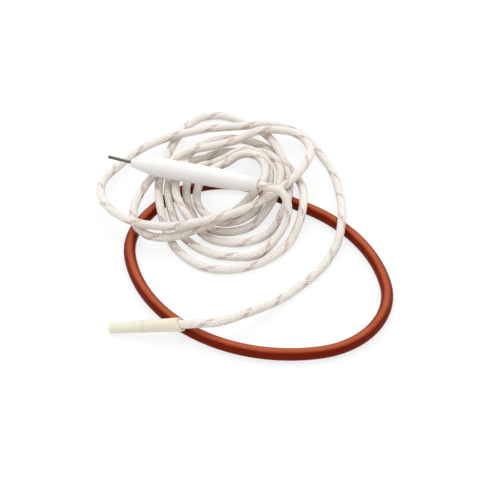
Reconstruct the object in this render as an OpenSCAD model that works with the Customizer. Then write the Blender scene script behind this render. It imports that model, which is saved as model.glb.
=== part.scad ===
// Flame sensor probe: a ceramic body with a sensing rod in front and a long braided lead behind.
// The lead lies coiled on a loose seal ring and ends in a push-on terminal under a clear sleeve.
// Millimetres, +Z up, everything lies on the floor at z = 0.

/* [Ceramic body] */
// Diameter of the straight part that the holder grips
body_d = 10; // [9:0.5:11]
// Length from the front face to the rear face
body_len = 67; // [64:1:72]
// Length of the curved front taper
front_taper = 18; // [14:1:20]
// Length of the straight part
grip_len = 20; // [14:1:24]
// Diameter of the front face
front_d = 4.4; // [4:0.2:6]
// Diameter of the rear face
rear_d = 7.2; // [6.8:0.2:8.4]
// Diameter of the cavity for the joint behind the rod
cavity_d = 5; // [4.8:0.1:5.4]
// Length of the cavity, open at the rear
cavity_len = 40; // [36:1:44]

/* [Sensing rod] */
// Diameter of the rod
rod_d = 1.6; // [1.2:0.1:2]
// Length that stands out of the ceramic
rod_out = 12.5; // [8:0.5:14]
// Angle of the bend just in front of the ceramic
rod_bend = 5; // [1:1:15]
// Diameter of the cement seal round the rod
seal_d = 2.8; // [2.4:0.1:3.2]
// Depth of the cement seal
seal_len = 5; // [3:0.5:8]

/* [Lead] */
// Diameter over the braid
lead_d = 4; // [3.6:0.1:4.2]
// Diameter of the inner insulation
insul_d = 2.6; // [2.2:0.1:2.8]
// Diameter of the stranded conductor
wire_d = 1.2; // [0.8:0.1:1.4]

/* [Coil turns: front y, left x, back y, right x] */
// First turn
turn_1 = [7.76, -39.79, 99.5, 29.23]; // [-80:0.01:130]
// Second turn
turn_2 = [-1.75, -44.73, 119.03, 22.11]; // [-80:0.01:130]
// Third turn
turn_3 = [17.68, -35.97, 88.65, 17.72]; // [-80:0.01:130]
// Fourth turn
turn_4 = [25.85, -30.57, 82.34, 12.4]; // [-80:0.01:130]
// Fifth turn
turn_5 = [29.25, -25.19, 75.23, 9.81]; // [-80:0.01:130]
// Sixth turn
turn_6 = [15.94, -56.72, 95.89, 33.49]; // [-80:0.01:130]
// Seventh turn
turn_7 = [17.85, -74.2, 103.86, 51.37]; // [-80:0.01:130]

/* [Terminal and sleeve] */
// Width of the push-on terminal, for a tab 2.8 wide
terminal_w = 3.6; // [3.4:0.1:3.8]
// Height of the rolled edges of the terminal
terminal_h = 1.5; // [1.3:0.1:1.6]
// Thickness of the terminal sheet
sheet_t = 0.3; // [0.2:0.05:0.35]
// Length of the sleeve
sleeve_len = 36; // [34:1:38]
// Bore of the sleeve at the terminal
sleeve_bore = 4.5; // [4.4:0.05:4.7]
// Outside diameter of the sleeve at the terminal
sleeve_front_d = 5.2; // [5:0.1:5.4]
// Outside diameter of the sleeve at the lead
sleeve_rear_d = 6.8; // [6:0.1:6.8]
// Wall of the sleeve at the lead
sleeve_wall = 0.6; // [0.4:0.1:0.6]

/* [Seal ring] */
// Diameter of the ring cord
ring_d = 6; // [5:0.2:6]
// Long diameter of the ring as it lies, at the middle of the cord
ring_long = 136.5; // [131.5:1:141.5]
// Short diameter of the ring as it lies, at the middle of the cord
ring_short = 104.5; // [101.5:1:109.5]
// Bend radius of the two tighter ends
ring_end_r = 40.5; // [36.5:1:44.5]
// How far the back of the ring is pushed outwards
ring_push = 8; // [7:0.1:8.4]

/* [Hidden] */
$fn = 48;
eps = 0.01;

body_r = body_d / 2;
lead_r = lead_d / 2;
ring_r = ring_d / 2;

// A direction from its heading in plan and its rise
function heading(turn, rise) = [cos(rise) * cos(turn), cos(rise) * sin(turn), sin(rise)];

// Where the probe lies: the middle of its front face, its heading and its rise towards the rear
probe_at = [-58.1, 59.1, 19.8];
probe_turn = -16.5;
probe_rise = 1;
probe_dir = heading(probe_turn, probe_rise);
probe_rear = probe_at + body_len * probe_dir;
rear_len = body_len - front_taper - grip_len;
cavity_z = body_len - cavity_len;
// The rod is bent this far in front of the ceramic, at this radius, and ends inside the ferrule
bend_gap = 1;
bend_r = 8;
rod_hole_gap = 0.1;
rod_end_z = cavity_z + 8;
// The lead is stepped back layer by layer inside the cavity
ferrule_d = 3.2;
ferrule_z = rod_end_z - 6;
ferrule_len = 14;
wire_z = rod_end_z + 2;
insul_z = wire_z + 10;
braid_z = insul_z + 5;
cement_recess = 1;

// Where the terminal lies: the open end of the sleeve, its heading and its rise towards the lead
sleeve_at = [-64.5, -42.5, 2.8];
sleeve_turn = -6;
sleeve_rise = 10;
sleeve_dir = heading(sleeve_turn, sleeve_rise);
// Stations along the terminal, measured from the open end of the sleeve
tab_z = 1;
tab_len = 7;
crimp_z = 9.5;
crimp_len = 3.5;
grip_z = 14;
grip_crimp_len = 4;
braid_end_z = 19;
strip_z = 13.5;
step_z = strip_z - 0.5;
wire_end_z = crimp_z - 0.5;
straight_z = 51;
// The terminal's floor lies this far below the wire, and the curls lap onto it
floor_gap = 0.05;
curl_lap = 0.1;

// Where the seal ring lies, and where round it and how far to each side it is pushed outwards
ring_at = [5.3, -2.9];
ring_turn = 144.8;
push_at = -38.9;
push_half = 41.5;
ring_end_x = ring_long / 2 - ring_end_r;
ring_side_h = ring_short / 2 - ring_end_r;
ring_side_y = (ring_end_x * ring_end_x - ring_side_h * ring_side_h) / (2 * ring_side_h);
ring_side_r = ring_short / 2 + ring_side_y;
ring_end_arc = atan2(ring_side_y, ring_end_x);
ring_sides = 16;
ring_z = ring_r * cos(180 / ring_sides);
ring_end_steps = 16;
ring_side_steps = 32;
// Half of an oval: a tighter arc and a wider arc. The other half is the same, half a turn on
ring_half = concat(
    [
        for (i = [0 : ring_end_steps - 1])
            let (a = ring_end_arc * (2 * i / ring_end_steps - 1))
            [ring_end_x + ring_end_r * cos(a), ring_end_r * sin(a), 0]
    ],
    [
        for (i = [0 : ring_side_steps - 1])
            let (a = ring_end_arc + (180 - 2 * ring_end_arc) * i / ring_side_steps)
            [ring_side_r * cos(a), ring_side_r * sin(a) - ring_side_y, 0]
    ]
);
// How far the ring is pushed outwards at a point of this oval
function pushed(p) =
    let (
        off = abs(atan2(p.y, p.x) - push_at),
        q = min(off, 360 - off) / push_half
    )
    q < 1 ? ring_push * pow(cos(90 * q), 2) : 0;
ring_line = [for (p = concat(ring_half, -ring_half)) p * (1 + pushed(p) / norm(p))];

// The coil: each turn swings between its four extremes, and later turns lie over earlier ones
turns = [turn_1, turn_2, turn_3, turn_4, turn_5, turn_6, turn_7];
// How far the four extremes of each turn lag, in turns
lags = [
    [0, -0.012, -0.013, 0.019], [0.023, -0.003, -0.005, 0.055], [0.019, -0.003, -0.003, -0.017],
    [0.012, -0.006, 0.019, -0.026], [0.008, -0.024, 0.027, -0.031],
    [0.087, -0.01, 0.071, -0.033], [0.05, 0.007, 0.026, 0]
];
rings_per_turn = 24;
coil_from = 0.25;
coil_rings = 155;
coil_sides = 6;
lead_sides = 8;
// Room left between crossing strands and over the ring
strand_room = 0.72;
strand_lift = lead_d + strand_room;
// A strand rises ahead of a crossing over this length, and more for a higher crossing
hump_flat = 6;
hump_run = 12;
hump_slope = 1.3;
// The last strand, from this turn count on, rises and falls over a longer length
late_from = 5.84;
late_run = 59.5;
// How many rings ahead the strand is looked at, and how many rings back counts as the same strand
look_ahead = 6;
same_strand = 14;
parts_per_ring = 4;
gap_skip = 8;
search_reach = 18;

// The lead between the probe and the coil, and between the coil and the terminal
start_bends = [
    [13.2, 37.95, 21], [17.4, 36.3, 20.1], [20.3, 33.4, 17], [21, 29.4, 12.6],
    [19.3, 24.8, 8.3], [15.4, 19.2, 5], [11, 13.8, 3], [6.8, 9.9, 2.1]
];
tail_bends = [
    [-11, 103.5, 6.6], [-4, 102.6, 8], [2, 101.9, 9.2], [8, 101.7, 9.8], [14.5, 102.1, 9.1],
    [22, 101.2, 7.5], [28, 98.8, 6.3], [33, 94.5, 5], [37.5, 88.5, 3], [41.5, 81.5, 2],
    [44.5, 74, 2], [46.5, 66, 2], [47.7, 57, 3], [48.3, 45, 6.5], [48.3, 33, 9.2],
    [47.7, 24.5, 9], [46.6, 18.5, 6], [45, 14.5, 3.2], [42, 8.5, 2], [39, 2.5, 2],
    [34.5, -4, 2], [30, -9.5, 2], [25, -14.5, 2], [19, -21, 2.6], [11.5, -28.5, 4.6],
    [4.5, -35, 7.3], [-2.5, -41, 9.9], [-8.5, -45.4, 11.4]
];

// A smooth step from a to b while s runs from 0 to 1
function ease(a, b, s) = a + (b - a) * (1 - cos(180 * s)) / 2;

// The value at turn count t on a list of [turn count, extreme] pairs
function swing(knots, t) =
    let (k = max([for (i = [0 : len(knots) - 2]) if (i == 0 || knots[i][0] <= t) i]))
    ease(knots[k][1], knots[k + 1][1], (t - knots[k][0]) / (knots[k + 1][0] - knots[k][0]));

x_knots = [
    for (i = [0 : len(turns) - 1])
        each [[i + 0.5 + lags[i][1], turns[i][1]], [i + 1 + lags[i][3], turns[i][3]]]
];
x_all = concat([[0, turn_1[3]]], x_knots);
y_all = [
    for (i = [0 : len(turns) - 1])
        each [[i + 0.25 + lags[i][0], turns[i][0]], [i + 0.75 + lags[i][2], turns[i][2]]]
];

function plan_at(t) = [swing(x_all, t), swing(y_all, t)];
function unit(v) = v / norm(v);
function flat_dir(t) = unit(plan_at(t + 0.001) - plan_at(t));

coil_to = coil_from + coil_rings / rings_per_turn;
plan = [for (i = [0 : coil_rings]) plan_at(coil_from + i / rings_per_turn)];
// The running length along the plan at each ring
run = [for (i = 0, s = 0; i <= coil_rings; s = s + norm(plan[min(i + 1, coil_rings)] - plan[i]), i = i + 1) s];

// The distance in plan from a point to the middle line of the seal ring
function ring_distance(p) =
    let (
        d = p - ring_at,
        x = d.x * cos(ring_turn) + d.y * sin(ring_turn),
        y = d.y * cos(ring_turn) - d.x * sin(ring_turn),
        q = [x, y, 0],
        count = len(ring_line)
    )
    min([
        for (i = [0 : count - 1])
            let (
                a = ring_line[i],
                b = ring_line[(i + 1) % count],
                f = max(0, min(1, (q - a) * (b - a) / ((b - a) * (b - a))))
            )
            norm(q - a - f * (b - a))
    ]);

// The height of a strand that lies over a round thing at height z, at the distance r in plan
function over(z, reach, r) = r < reach ? z + sqrt(reach * reach - r * r) : lead_r;

// The height that the floor, the ring and the strands up to ring number last give at a point
function rest_height(p, last, z) =
    max(concat(
        [lead_r, over(ring_z, ring_r + lead_r + strand_room, ring_distance(p))],
        [
            for (j = [0 : 1 : last])
                let (a = plan[j], b = plan[j + 1])
                if (norm(a - p) < search_reach)
                    let (f = max(0, min(1, (p - a) * (b - a) / ((b - a) * (b - a)))))
                    over(z[j] + f * (z[j + 1] - z[j]), strand_lift, norm(p - a - f * (b - a)))
        ]
    ));

// The points of one stretch between two rings, each as [running length, height above the floor]
function stretch_heights(m, z) = [
    for (k = [0 : parts_per_ring - 1])
        let (f = m < coil_rings ? k / parts_per_ring : 0, n = min(m + 1, coil_rings))
        [
            run[m] + f * (run[n] - run[m]),
            rest_height(plan[m] + f * (plan[n] - plan[m]), m - same_strand - 1, z) - lead_r
        ]
];

// How much of a crossing's height is left at the length s away from it
function hump(s, h, rise_run) =
    let (q = (abs(s) - hump_flat) / (rise_run + hump_slope * h))
    q <= 0 ? h : q >= 1 ? 0 : h * (1 + cos(180 * q)) / 2;

// The height of every ring, laid down one after the other from the probe on
function lay(i, z, heights) =
    i > coil_rings ? z :
    let (
        first = i == 0 ? 0 : i + look_ahead,
        more = [for (m = [first : 1 : min(i + look_ahead, coil_rings)]) each stretch_heights(m, z)],
        known = concat(heights, more),
        from = max(0, parts_per_ring * (i - look_ahead - 1)),
        rise_run = coil_from + i / rings_per_turn < late_from ? hump_run : late_run,
        top = max([for (k = [from : len(known) - 1]) hump(known[k][0] - run[i], known[k][1], rise_run)])
    )
    lay(i + 1, concat(z, [lead_r + top]), known);

// The middle line of the coil, with a straight end of one lead diameter at both ends
function coil_line() =
    let (
        z = lay(0, [], []),
        a = flat_dir(coil_from),
        b = flat_dir(coil_to),
        points = [for (i = [0 : coil_rings]) [plan[i].x, plan[i].y, z[i]]]
    )
    concat(
        [points[0] - lead_d * [a.x, a.y, 0]],
        points,
        [points[coil_rings] + lead_d * [b.x, b.y, 0]]
    );

// The least distance between strands of a line, measured on points along it, less the diameter
function least_gap(line) =
    let (fine = [
        for (i = [0 : len(line) - 2])
            for (k = [0 : 2])
                line[i] + k / 3 * (line[i + 1] - line[i])
    ])
    min([
        for (i = [0 : len(fine) - 1])
            for (j = [i + 3 * gap_skip : 1 : len(fine) - 1])
                norm(fine[i] - fine[j])
    ]) - lead_d;

// A solid tube along a line of points, square to the line at both ends, or closed to a loop
module tube(line, r, sides, loop = false) {
    n = len(line);
    last = n - 1;
    dirs = [
        for (i = [0 : last])
            loop
                ? unit(line[(i + 1) % n] - line[(i + last) % n])
                : unit(line[min(i + 1, last)] - line[max(i - 1, 0)])
    ];
    across = [for (d = dirs) unit(cross(d, [0, 0, 1]))];
    // A flat side of the tube faces the floor
    first_angle = sides % 4 == 0 ? 180 / sides : 0;
    skin = [
        for (i = [0 : last])
            for (j = [0 : sides - 1])
                let (a = first_angle + 360 * j / sides)
                line[i] + r * (cos(a) * across[i] + sin(a) * cross(across[i], dirs[i]))
    ];
    walls = [
        for (i = [0 : loop ? last : last - 1])
            for (j = [0 : sides - 1])
                let (
                    k = (j + 1) % sides,
                    a = i * sides,
                    b = (i + 1) % n * sides
                )
                each [[a + j, a + k, b + k], [a + j, b + k, b + j]]
    ];
    ends = loop ? [] : [
        for (j = [1 : sides - 2])
            each [[0, j + 1, j], [last * sides, last * sides + j, last * sides + j + 1]]
    ];
    polyhedron(points = skin, faces = concat(walls, ends));
}

module in_probe() {
    translate(probe_at)
        rotate([0, 90 - probe_rise, probe_turn])
            children();
}

module in_terminal() {
    translate(sleeve_at)
        rotate([0, 90 - sleeve_rise, sleeve_turn])
            children();
}

// A round bar in the local frame from z1 to z2
module bar(d, z1, z2) {
    translate([0, 0, z1])
        cylinder(d = d, h = z2 - z1);
}

// Half the outline of a taper that starts square to the straight part and drops by an arc
module taper_outline(length, drop) {
    arc_r = (drop * drop + length * length) / (2 * drop);
    intersection() {
        translate([body_r - arc_r, 0])
            circle(r = arc_r, $fn = 360);
        square([body_r, length]);
    }
}

module ceramic_body() {
    color([0.95, 0.95, 0.94])
        in_probe()
            difference() {
                rotate_extrude() {
                    translate([0, front_taper])
                        mirror([0, 1])
                            taper_outline(front_taper, body_r - front_d / 2);
                    translate([0, front_taper])
                        square([body_r, grip_len]);
                    translate([0, front_taper + grip_len])
                        taper_outline(rear_len, body_r - rear_d / 2);
                }
                bar(rod_d + 2 * rod_hole_gap, -eps, cavity_z + eps);
                bar(seal_d, -eps, seal_len);
                bar(cavity_d, cavity_z, body_len + eps);
            }
}

module electrode_rod() {
    color([0.45, 0.44, 0.43])
        in_probe() {
            bar(rod_d, -bend_gap, rod_end_z);
            translate([0, bend_r, -bend_gap]) {
                rotate([90, 180, 90])
                    rotate_extrude(angle = rod_bend)
                        translate([bend_r, 0])
                            circle(d = rod_d);
                rotate([rod_bend, 0, 0])
                    translate([0, -bend_r, 0])
                        bar(rod_d, bend_gap - rod_out, 0);
            }
        }
}

module front_cement() {
    color([0.88, 0.87, 0.84])
        in_probe()
            difference() {
                bar(seal_d, 0, seal_len);
                bar(rod_d, -eps, seal_len + eps);
            }
}

module splice_ferrule() {
    color([0.72, 0.72, 0.74])
        in_probe()
            difference() {
                bar(ferrule_d, ferrule_z, ferrule_z + ferrule_len);
                bar(rod_d, ferrule_z - eps, rod_end_z);
                bar(wire_d, wire_z, ferrule_z + ferrule_len + eps);
            }
}

module rear_cement() {
    color([0.86, 0.85, 0.81])
        in_probe()
            difference() {
                bar(cavity_d, cavity_z, body_len - cement_recess);
                bar(rod_d, cavity_z - eps, ferrule_z + eps);
                bar(ferrule_d, ferrule_z, ferrule_z + ferrule_len);
                bar(wire_d, ferrule_z + ferrule_len - eps, insul_z + eps);
                bar(insul_d, insul_z, braid_z + eps);
                bar(lead_d, braid_z, body_len + eps);
            }
}

module probe_conductor() {
    color([0.75, 0.72, 0.68])
        in_probe()
            bar(wire_d, wire_z, body_len);
}

module probe_insulation() {
    color([0.62, 0.24, 0.16])
        in_probe()
            difference() {
                bar(insul_d, insul_z, body_len);
                bar(wire_d, insul_z - eps, body_len + eps);
            }
}

module probe_braid() {
    color([0.92, 0.9, 0.84])
        in_probe()
            difference() {
                bar(lead_d, braid_z, body_len);
                bar(insul_d, braid_z - eps, body_len + eps);
            }
}

module lead_start() {
    a = flat_dir(coil_from);
    coil_end = [plan[0].x, plan[0].y, lead_r] - lead_d * [a.x, a.y, 0];
    color([0.93, 0.91, 0.85])
        tube(
            concat(
                [probe_rear, probe_rear + lead_d * probe_dir],
                start_bends,
                [coil_end - lead_d * [a.x, a.y, 0], coil_end]
            ),
            lead_r, lead_sides
        );
}

module lead_coil() {
    line = coil_line();
    echo(least_gap_mm = least_gap(line));
    color([0.93, 0.91, 0.85])
        tube(line, lead_r, coil_sides);
}

module lead_tail() {
    line = coil_line();
    last = len(line) - 1;
    b = flat_dir(coil_to);
    color([0.93, 0.91, 0.85])
        tube(
            concat(
                [line[last], line[last] + lead_d * [b.x, b.y, 0]],
                tail_bends,
                [sleeve_at + straight_z * sleeve_dir, sleeve_at + sleeve_len * sleeve_dir],
                [sleeve_at + braid_end_z * sleeve_dir]
            ),
            lead_r, lead_sides
        );
}

module terminal_insulation() {
    color([0.62, 0.24, 0.16])
        in_terminal()
            difference() {
                bar(insul_d, strip_z, braid_end_z);
                bar(wire_d, strip_z - eps, braid_end_z + eps);
            }
}

module terminal_conductor() {
    color([0.75, 0.72, 0.68])
        in_terminal()
            bar(wire_d, wire_end_z, braid_end_z);
}

// The rolled edge over the tab: a curl that is open on the inner, lower quarter
module curl() {
    difference() {
        circle(d = terminal_h);
        circle(d = terminal_h - 2 * sheet_t);
        translate([0, -terminal_h])
            square(terminal_h);
    }
}

// A strip of the terminal's floor at the depth x
module floor_strip(x, t, z1, z2) {
    translate([x, -wire_d / 2, z1])
        cube([t, wire_d, z2 - z1]);
}

module crimp(inner_d, z1, z2) {
    difference() {
        bar(inner_d + 2 * sheet_t, z1, z2);
        bar(inner_d, z1 - eps, z2 + eps);
    }
}

module terminal_receptacle() {
    curl_y = (terminal_w - terminal_h) / 2;
    floor_x = wire_d / 2 + floor_gap;
    grip_x = insul_d / 2;
    color([0.74, 0.74, 0.76])
        in_terminal() {
            translate([0, 0, tab_z])
                linear_extrude(tab_len) {
                    translate([floor_x, -curl_y - curl_lap])
                        square([sheet_t, 2 * (curl_y + curl_lap)]);
                    for (side = [0, 1])
                        mirror([0, side])
                            translate([floor_x + sheet_t - terminal_h / 2, curl_y])
                                curl();
                }
            floor_strip(floor_x, sheet_t, tab_z + 1, step_z + sheet_t);
            floor_strip(floor_x, grip_x + sheet_t - floor_x, step_z, step_z + sheet_t);
            floor_strip(grip_x, sheet_t, step_z, grip_z + 0.5);
            crimp(wire_d, crimp_z, crimp_z + crimp_len);
            crimp(insul_d, grip_z, grip_z + grip_crimp_len);
        }
}

module terminal_sleeve() {
    color([0.9, 0.9, 0.72, 0.7])
        in_terminal()
            rotate_extrude()
                polygon([
                    [sleeve_bore / 2, 0],
                    [sleeve_front_d / 2, 0],
                    [sleeve_rear_d / 2, sleeve_len],
                    [sleeve_rear_d / 2 - sleeve_wall, sleeve_len]
                ]);
}

module seal_ring() {
    color([0.55, 0.16, 0.07])
        translate([ring_at.x, ring_at.y, ring_z])
            rotate([0, 0, ring_turn])
                tube(ring_line, ring_r, ring_sides, true);
}

ceramic_body();
electrode_rod();
front_cement();
splice_ferrule();
rear_cement();
probe_conductor();
probe_insulation();
probe_braid();
lead_start();
lead_coil();
lead_tail();
terminal_insulation();
terminal_conductor();
terminal_receptacle();
terminal_sleeve();
seal_ring();
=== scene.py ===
# Flame sensor probe: a white ceramic electrode on a long braided lead, with a push-on terminal in a
# clear sleeve at the lead's end and a loose silicone seal ring under the coil. Metres, +Z up.
import math

import bpy
import numpy as np
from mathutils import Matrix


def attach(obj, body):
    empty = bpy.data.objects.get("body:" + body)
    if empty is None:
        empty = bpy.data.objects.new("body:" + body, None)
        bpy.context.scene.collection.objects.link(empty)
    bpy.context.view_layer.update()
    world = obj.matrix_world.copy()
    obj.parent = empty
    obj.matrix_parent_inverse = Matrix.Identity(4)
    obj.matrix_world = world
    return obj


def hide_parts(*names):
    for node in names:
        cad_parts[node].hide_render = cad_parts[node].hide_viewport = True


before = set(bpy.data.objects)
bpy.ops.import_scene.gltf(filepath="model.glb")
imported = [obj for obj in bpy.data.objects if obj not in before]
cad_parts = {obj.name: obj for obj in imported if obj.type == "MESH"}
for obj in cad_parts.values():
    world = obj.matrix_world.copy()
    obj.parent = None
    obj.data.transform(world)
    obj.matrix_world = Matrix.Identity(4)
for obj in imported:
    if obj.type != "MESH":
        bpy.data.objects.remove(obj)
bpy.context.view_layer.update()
mm = 0.001

# Camera: a photographer's view from in front and above, with a long lens.
# The image is taken to be 500 by 497, so the sensor's width is the image's width.
camera_target = (0.002, 0.016, 0.0)
camera_elevation = math.radians(43)
camera_distance = 0.93
camera_data = bpy.data.cameras.new("camera")
camera_data.sensor_fit = "HORIZONTAL"
camera_data.sensor_width = 36
camera_data.lens = 133.92
camera = bpy.data.objects.new("camera", camera_data)
camera.location = (
    camera_target[0],
    camera_target[1] - camera_distance * math.cos(camera_elevation),
    camera_target[2] + camera_distance * math.sin(camera_elevation),
)
camera.rotation_euler = (math.pi / 2 - camera_elevation, 0, 0)
bpy.context.collection.objects.link(camera)
bpy.context.scene.camera = camera

# Lead: a stranded wire with silicone insulation under a glass braid, 12 carriers each way, two of them
# with a pink tracer. It leaves the ceramic, lies in seven loose turns over itself and over the seal
# ring, and goes on round the right side to its terminal.
lead_r = 2 * mm
braid_pitch = 21 * mm
pitch_steps = 24
braid_sides = 36
carriers = 12
tracer_carriers = 2
braid_core_r = 2.04 * mm
braid_relief = 0.1 * mm
float_dip = 0.6
braid_bump = 0.25 * mm
# Glass yarn colour on top of the yarns, and painted shade towards the low parts between them
glass_white = (0.99, 0.965, 0.915, 1)
glass_shade = (0.64, 0.54, 0.43, 1)
# A brown painted shade where strands lie against each other
glass_contact_shade = (0.36, 0.245, 0.135, 1)
# Tracer colour on top of the yarns, and painted shade towards the low parts between them
tracer_pink = (0.94, 0.80, 0.755, 1)
tracer_shade = (0.28, 0.125, 0.095, 1)
soil_size = 6 * mm
fluff_size = 1.1 * mm
# How far from another strand that painted shade reaches
contact_shade_reach = 6 * mm
# How light the yarns are: all of them, and how much each yarn, the soiling and the fluff add
light_base = 0.5
yarn_light = 0.22
soil_light = 0.2
fluff_light = 0.55


def heading(turn, rise):
    """A direction from its heading in plan and its rise, both in degrees."""
    turn, rise = math.radians(turn), math.radians(rise)
    return np.array([math.cos(rise) * math.cos(turn), math.cos(rise) * math.sin(turn), math.sin(rise)])


body_len = 67 * mm
probe_at = np.array([-58.1, 59.1, 19.8]) * mm
probe_turn = -16.5
probe_rise = 1
probe_pose = (probe_at, probe_turn, probe_rise)
probe_dir = heading(probe_turn, probe_rise)
probe_rear = probe_at + body_len * probe_dir
cement_recess = 1 * mm

sleeve_at = np.array([-64.5, -42.5, 2.8]) * mm
sleeve_turn = -6
sleeve_rise = 10
sleeve_pose = (sleeve_at, sleeve_turn, sleeve_rise)
sleeve_dir = heading(sleeve_turn, sleeve_rise)
sleeve_len = 36 * mm
straight_z = 51 * mm
braid_end_z = 19 * mm

ring_r = 3 * mm
ring_long = 136.5 * mm
ring_short = 104.5 * mm
ring_end_r = 40.5 * mm
ring_end_x = ring_long / 2 - ring_end_r
ring_side_h = ring_short / 2 - ring_end_r
ring_side_y = (ring_end_x**2 - ring_side_h**2) / (2 * ring_side_h)
ring_side_r = ring_short / 2 + ring_side_y
ring_end_arc = math.atan2(ring_side_y, ring_end_x)
ring_push = 8 * mm
push_at = math.radians(-38.9)
push_half = math.radians(41.5)
ring_at = np.array([5.3, -2.9]) * mm
ring_turn = math.radians(144.8)
end_steps = 16
side_steps = 32

# Each turn of the coil swings between four extremes: front y, left x, back y, right x
turns = np.array([
    [7.76, -39.79, 99.5, 29.23], [-1.75, -44.73, 119.03, 22.11],
    [17.68, -35.97, 88.65, 17.72], [25.85, -30.57, 82.34, 12.4], [29.25, -25.19, 75.23, 9.81],
    [15.94, -56.72, 95.89, 33.49], [17.85, -74.2, 103.86, 51.37],
]) * mm
# How far the four extremes of each turn lag, in turns
lags = [
    [0, -0.012, -0.013, 0.019], [0.023, -0.003, -0.005, 0.055], [0.019, -0.003, -0.003, -0.017],
    [0.012, -0.006, 0.019, -0.026], [0.008, -0.024, 0.027, -0.031],
    [0.087, -0.01, 0.071, -0.033], [0.05, 0.007, 0.026, 0],
]
rings_per_turn = 24
coil_from = 0.25
coil_rings = 155
strand_room = 0.72 * mm
strand_lift = 2 * lead_r + strand_room
hump_flat = 6 * mm
hump_run = 12 * mm
hump_slope = 1.3
late_from = 5.84
late_run = 59.5 * mm
look_ahead = 6
same_strand = 14
parts_per_ring = 4

start_bends = np.array([
    [13.2, 37.95, 21], [17.4, 36.3, 20.1], [20.3, 33.4, 17], [21, 29.4, 12.6],
    [19.3, 24.8, 8.3], [15.4, 19.2, 5], [11, 13.8, 3], [6.8, 9.9, 2.1],
]) * mm
tail_bends = np.array([
    [-11, 103.5, 6.6], [-4, 102.6, 8], [2, 101.9, 9.2], [8, 101.7, 9.8], [14.5, 102.1, 9.1],
    [22, 101.2, 7.5], [28, 98.8, 6.3], [33, 94.5, 5], [37.5, 88.5, 3], [41.5, 81.5, 2],
    [44.5, 74, 2], [46.5, 66, 2], [47.7, 57, 3], [48.3, 45, 6.5], [48.3, 33, 9.2],
    [47.7, 24.5, 9], [46.6, 18.5, 6], [45, 14.5, 3.2], [42, 8.5, 2], [39, 2.5, 2],
    [34.5, -4, 2], [30, -9.5, 2], [25, -14.5, 2], [19, -21, 2.6], [11.5, -28.5, 4.6],
    [4.5, -35, 7.3], [-2.5, -41, 9.9], [-8.5, -45.4, 11.4],
]) * mm


def swing(knots, t):
    """The value at turn count t, eased by half a cosine between the extremes on both sides."""
    k = max(i for i in range(len(knots) - 1) if i == 0 or knots[i][0] <= t)
    (t0, a), (t1, b) = knots[k], knots[k + 1]
    return a + (b - a) * (1 - math.cos(math.pi * (t - t0) / (t1 - t0))) / 2


x_knots = [(0, turns[0][3])]
y_knots = []
for i, ((front_y, left_x, back_y, right_x), lag) in enumerate(zip(turns, lags)):
    x_knots += [(i + 0.5 + lag[1], left_x), (i + 1 + lag[3], right_x)]
    y_knots += [(i + 0.25 + lag[0], front_y), (i + 0.75 + lag[2], back_y)]


def plan_at(t):
    """The lead's place in plan at turn count t."""
    return np.array([swing(x_knots, t), swing(y_knots, t)])


def flat_dir(t):
    """The lead's direction in plan at turn count t."""
    step = plan_at(t + 0.001) - plan_at(t)
    return np.append(step / np.linalg.norm(step), 0)


plan = np.array([plan_at(coil_from + i / rings_per_turn) for i in range(coil_rings + 1)])
run = np.concatenate([[0], np.cumsum(np.linalg.norm(np.diff(plan, axis=0), axis=1))])

# The middle line of the seal ring: two tighter and two wider arcs, pushed outwards at the back
end_angle = np.linspace(-ring_end_arc, ring_end_arc, end_steps, endpoint=False)
side_angle = np.linspace(ring_end_arc, math.pi - ring_end_arc, side_steps, endpoint=False)
oval_x = np.append(ring_end_x + ring_end_r * np.cos(end_angle), ring_side_r * np.cos(side_angle))
oval_y = np.append(ring_end_r * np.sin(end_angle), ring_side_r * np.sin(side_angle) - ring_side_y)
ring_line = np.column_stack([np.append(oval_x, -oval_x), np.append(oval_y, -oval_y)])
off = np.arctan2(ring_line[:, 1], ring_line[:, 0]) - push_at
off = np.abs((off + math.pi) % (2 * math.pi) - math.pi) / push_half
pushed = ring_push * np.cos(np.minimum(off, 1) * math.pi / 2) ** 2
ring_line *= (1 + pushed / np.linalg.norm(ring_line, axis=1))[:, None]
ring_steps = np.roll(ring_line, -1, axis=0) - ring_line


def ring_distance(p):
    """The distance in plan from a point to the middle line of the seal ring."""
    d = p - ring_at
    x = d[0] * math.cos(ring_turn) + d[1] * math.sin(ring_turn)
    y = d[1] * math.cos(ring_turn) - d[0] * math.sin(ring_turn)
    away = np.array([x, y]) - ring_line
    f = np.clip((away * ring_steps).sum(1) / (ring_steps**2).sum(1), 0, 1)
    return np.linalg.norm(away - f[:, None] * ring_steps, axis=1).min()


def rest_height(p, last, laid):
    """The height of the lead's middle at p, over the floor, the ring and the strands laid before."""
    heights = [lead_r]
    ring_reach = ring_r + lead_r + strand_room
    r = ring_distance(p)
    if r < ring_reach:
        heights.append(ring_r + math.sqrt(ring_reach**2 - r**2))
    for j in range(last + 1):
        along = plan[j + 1] - plan[j]
        f = min(1, max(0, (p - plan[j]) @ along / (along @ along)))
        r = np.linalg.norm(p - plan[j] - f * along)
        if r < strand_lift:
            heights.append(laid[j] + f * (laid[j + 1] - laid[j]) + math.sqrt(strand_lift**2 - r**2))
    return max(heights)


def hump(s, h, rise_run):
    """How much of a crossing's height h is left at the length s away from it."""
    q = (abs(s) - hump_flat) / (rise_run + hump_slope * h)
    return h if q <= 0 else 0 if q >= 1 else h * (1 + math.cos(math.pi * q)) / 2


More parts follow.
